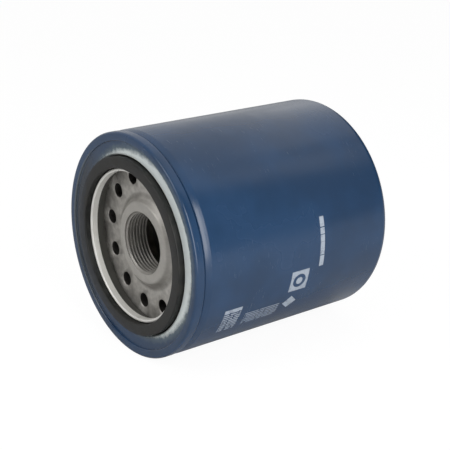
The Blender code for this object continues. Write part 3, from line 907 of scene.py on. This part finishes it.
def make_bypass_cage(look):
    """Cup with four windows that hangs in the centre tube and carries the bypass spring."""
    flange = ELEMENT_END - SHEET / 2
    corners = [(COLLAR_INNER - GAP, flange, 0), (CAGE_RADIUS, flange, 0.9)]
    corners += [(CAGE_RADIUS, CAGE_FLOOR, 1.6), (PIN_RADIUS + 0.5, CAGE_FLOOR, 0)]
    cage = finished("valve_cage", turned_mesh(sheet(corners), MEDIUM))
    reach = CAGE_WINDOW / 2
    signs = ((-1, -1), (1, -1), (1, 1), (-1, 1))
    section = rounded([(x * reach, y * reach, 1.2) for x, y in signs], closed=True)
    bm = bmesh.new()
    for degrees in range(45, 360, 90):
        turn = math.radians(degrees)
        foot = at(CAGE_RADIUS - 2.5, turn, (CAGE_FLOOR + ELEMENT_END) / 2)
        add_drill(bm, section, foot, outward(turn), [(0, 1), (5, 1)])
    cut_out(cage, "cage_window_cutters", bm)
    return dress(cage, look, "cartridge", "end_cap_steel", "bypass_cage")


def make_bypass_pin(look):
    """Rivet that holds the seal on the disc and guides both in the cage's floor."""
    foot, tip = stations("bypass_pin")
    shoulder = stations("bypass_disc")[0] - GAP
    head = tip - 0.8
    collar = PIN_RADIUS + 1.2
    outline = [(0, foot, 0), (PIN_RADIUS, foot, 0.4), (PIN_RADIUS, shoulder - 0.6, 0)]
    outline += [(collar, shoulder - 0.6, 0.15), (collar, shoulder, 0.1), (PIN_RADIUS, shoulder, 0)]
    outline += [(PIN_RADIUS, head, 0), (PIN_RADIUS + 2, head, 0.1)]
    outline += [(PIN_RADIUS + 1.6, head + 0.6, 0.4), (0, tip, 0)]
    pin = finished("valve_rivet", turned_mesh(rounded(outline, steps=4), MEDIUM))
    return dress(pin, look, "bypass_valve", "end_cap_steel", "bypass_pin")


def make_bypass_spring(look):
    """Straight coil between the cage's floor and the disc."""
    low = CAGE_FLOOR + SHEET / 2 + GAP + BYPASS_WIRE
    high = stations("bypass_disc")[0] - GAP - BYPASS_WIRE
    wire = [tuple(point) for point in circle(BYPASS_WIRE, 14)]

    def station_at(share):
        return low + (high - low) * share

    bm = coil_mesh(wire, lambda share: BYPASS_COIL, station_at, BYPASS_TURNS, 40)
    spring = finished("valve_spring", bm, 60)
    dress(spring, look, "cartridge", "spring_steel", "bypass_spring")
    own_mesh(spring)


def make_drain_valve(look):
    """Rubber hub round the threaded neck, with a thin cone over the inlet holes."""
    back = PLATE_BACK + GAP
    hub_inner, hub_outer = NECK_RADIUS + 0.4, NECK_RADIUS + 2.8
    hub_end = ELEMENT_START - 0.4
    lip = INLET_CIRCLE + INLET_RADIUS + 2.5
    outline = [(hub_inner, back, 0.2), (hub_outer, back, 0.3), (hub_outer + 0.2, back + 3.6, 0.8)]
    outline += [(lip - 0.9, back + 0.3, 0.6), (lip, back, 0.3), (lip + 1.0, back, 0.3)]
    outline += [(lip + 1.0, back + 1.0, 0.4), (lip, back + 1.4, 0.5)]
    outline += [(hub_outer + 0.7, back + 5.0, 0.8), (hub_outer, hub_end, 0.2), (hub_inner, hub_end, 0.2)]
    valve = finished("drain_valve_skirt", turned_mesh(rounded(outline, closed=True, steps=4), MEDIUM))
    valve.data.materials.clear()
    valve.data.materials.append(look)
    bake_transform(valve)
    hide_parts("anti_drain_valve")


# ---------------------------------------------------------------- studio


TARGET = Vector((0, SEALING_Y + (SEAM_TOP + (LENGTH - SEAM_TOP) / 2) * MM, 0))
CAMERA_AZIMUTH = 52.537
CAMERA_ELEVATION = 18.896
CAMERA_DISTANCE = 10.011 * CAN_RADIUS * MM
LENS_MM = 87.02
SENSOR_MM = 36
LENS_SHIFT = (-0.0060, -0.0067)
FLOOR_RADIUS = 3.0
FLOOR_GREY = 0.72
FLOOR_GLOW = 1.07
FLOOR_GLOW_SHARE = 0.88


def make_camera():
    """Long lens that looks down at the filter from its sealing end's right."""
    data = bpy.data.cameras.new("camera")
    data.lens = LENS_MM
    data.sensor_width = SENSOR_MM
    data.shift_x, data.shift_y = LENS_SHIFT
    data.clip_start, data.clip_end = 0.01, 20
    camera = bpy.data.objects.new("camera", data)
    azimuth, elevation = math.radians(CAMERA_AZIMUTH), math.radians(CAMERA_ELEVATION)
    level = math.cos(elevation)
    back = Vector((math.sin(azimuth) * level, -math.cos(azimuth) * level, math.sin(elevation)))
    camera.location = TARGET + back * CAMERA_DISTANCE
    camera.rotation_mode = "QUATERNION"
    camera.rotation_quaternion = (-back).to_track_quat("-Z", "Y")
    bpy.context.scene.collection.objects.link(camera)
    bpy.context.scene.camera = camera


def make_floor():
    """Round pale floor under the filter: matt, and mostly self-lit to the camera, so shadows stay faint."""
    bm = bmesh.new()
    bmesh.ops.create_circle(bm, cap_ends=True, segments=96, radius=FLOOR_RADIUS)
    bmesh.ops.translate(bm, verts=bm.verts, vec=(0, 0, -CAN_RADIUS * MM))
    mesh = bpy.data.meshes.new("floor")
    bm.to_mesh(mesh)
    bm.free()
    floor = bpy.data.objects.new("floor", mesh)
    bpy.context.scene.collection.objects.link(floor)
    material = bpy.data.materials.new("floor")
    material.use_nodes = True
    material.node_tree.nodes.clear()
    shade = Nodes(material.node_tree)
    matt = shade.node("BsdfDiffuse", {}, {"Color": (FLOOR_GREY, FLOOR_GREY, FLOOR_GREY, 1)})
    glow = shade.node("Emission", {}, {"Color": (1, 1, 1, 1), "Strength": FLOOR_GLOW})
    seen = shade.node("LightPath").outputs["Is Camera Ray"]
    share = shade.math("MULTIPLY", seen, FLOOR_GLOW_SHARE)
    both = shade.node("MixShader", {}, {0: share, 1: matt.outputs[0], 2: glow.outputs[0]})
    shade.node("OutputMaterial", {}, {"Surface": both.outputs[0]})
    mesh.materials.append(material)


def make_area(name, place, aim, width, height, power):
    """A rectangular lamp that the camera doesn't see, with sizes in metres and its power in watts."""
    data = bpy.data.lights.new(name, "AREA")
    data.shape = "RECTANGLE"
    data.size, data.size_y = width, height
    data.energy = power
    light = bpy.data.objects.new(name, data)
    light.location = place
    light.rotation_mode = "QUATERNION"
    light.rotation_quaternion = (Vector(aim) - Vector(place)).to_track_quat("-Z", "Y")
    light.visible_camera = False
    bpy.context.scene.collection.objects.link(light)


# Soft panels round the studio. Each has limits in a direction's X, Y and Z.
WALL = {"brightness": 0.85, "limits": ((-1.1, 0.42), (0.0, 0.76), (-0.1, 1.1)), "soft": 0.09}
WINDOW = {"brightness": 0.5, "limits": ((-0.78, 0.02), (0.632, 0.76), (0.2, 1.1)), "soft": 0.012}
LEFT_WALL = {"brightness": 0.8, "limits": ((-1.1, -0.5), (-0.7, 0.0), (-0.1, 0.8)), "soft": 0.1}
CEILING = {"brightness": 0.5, "limits": ((-0.6, 0.8), (-0.8, 0.0), (0.75, 1.1)), "soft": 0.1}
BACK_RIGHT = {"brightness": 0.4, "limits": ((0.2, 1.1), (0.61, 0.76), (-0.6, 0.8)), "soft": 0.06}
AMBIENT = 0.08


def panel(sky, direction, brightness, limits, soft):
    inside = brightness
    for value, (low, high) in zip(direction, limits):
        inside = sky.math("MULTIPLY", inside, sky.band(value, low, high, soft))
    return inside


def make_world():
    """White to the camera, and a room of soft bright panels to everything else."""
    world = bpy.data.worlds.new("studio")
    world.use_nodes = True
    world.node_tree.nodes.clear()
    sky = Nodes(world.node_tree)
    direction = sky.node("SeparateXYZ", {}, [sky.node("TexCoord").outputs["Generated"]]).outputs
    light = AMBIENT
    for settings in (WALL, WINDOW, LEFT_WALL, CEILING, BACK_RIGHT):
        light = sky.math("ADD", light, panel(sky, direction, **settings))
    room = sky.node("Background", {}, {"Strength": light})
    white = sky.node("Background", {}, {"Color": (1, 1, 1, 1)})
    seen = sky.node("LightPath").outputs["Is Camera Ray"]
    both = sky.node("MixShader", {}, {0: seen, 1: room.outputs[0], 2: white.outputs[0]})
    sky.node("OutputWorld", {}, {"Surface": both.outputs[0]})
    bpy.context.scene.world = world


def make_studio():
    bpy.context.scene.view_settings.view_transform = "Standard"
    make_world()
    make_floor()
    make_camera()
    make_area("right_strip", (0.6, -0.09, 0.23), (0, -0.03, 0), 0.34, 0.55, 3.6)
    make_area("front_fill", (-0.1, -0.9, 0.6), (0, 0, 0), 0.6, 0.6, 4)


# ---------------------------------------------------------------- assembly


def main():
    blue = blue_enamel()
    cap_steel = pressed_steel("cap_steel", (0.5, 0.49, 0.46), (0.66, 0.65, 0.62), 0.28, 0.42)
    tube_steel = pressed_steel("tube_steel", (0.4, 0.4, 0.4), (0.55, 0.55, 0.54), 0.35, 0.5)
    wire_steel = pressed_steel("wire_steel", (0.2, 0.2, 0.21), (0.33, 0.33, 0.34), 0.3, 0.42)
    membrane = soft_solid("membrane_rubber", (0.012, 0.012, 0.012), (0.03, 0.028, 0.026), 0.5, 3.0, 0.25)
    sealant = soft_solid("sealant_bead", (0.5, 0.48, 0.4), (0.65, 0.62, 0.54), 0.65, 2.0, 0.3)
    potting = soft_solid("potting", (0.36, 0.3, 0.2), (0.5, 0.44, 0.32), 0.5, 1.2, 0.4)
    paper = filter_paper()

    make_can(blue)
    make_retainer(painted_retainer())
    make_gasket(gasket_rubber())
    make_plate(plate_steel())

    inside_seam = CHUCK_WALL_RADIUS + 1.0
    make_ring("seam_sealant", "seam_compound", sealant, "housing", "seam_sealant", inside_seam, 0.12)
    make_end_cap("end_cap_low", "lower_end_cap", cap_steel, ELEMENT_START, 1)
    make_end_cap("end_cap_high", "upper_end_cap", cap_steel, ELEMENT_END, -1)
    inside_potting = TUBE_INNER + TUBE_WALL + GAP
    make_ring("potting_low", "lower_adhesive", potting, "cartridge", "plastisol", inside_potting, 0.35)
    make_ring("potting_high", "upper_adhesive", potting, "cartridge", "plastisol", inside_potting, 0.35)
    make_media(paper)
    make_media_clip(cap_steel)
    make_centre_tube(tube_steel)
    make_support_spring(wire_steel)
    make_bypass_seat(cap_steel)
    make_bypass_cage(cap_steel)
    round_pin = PIN_RADIUS + GAP
    make_ring("valve_disc", "bypass_disc", cap_steel, "bypass_valve", "end_cap_steel", round_pin, 0.15)
    make_ring("valve_seal", "bypass_seal", membrane, "bypass_valve", "black_rubber", round_pin, 0.2)
    make_bypass_pin(cap_steel)
    make_bypass_spring(wire_steel)
    make_drain_valve(membrane)

    make_studio()


main()
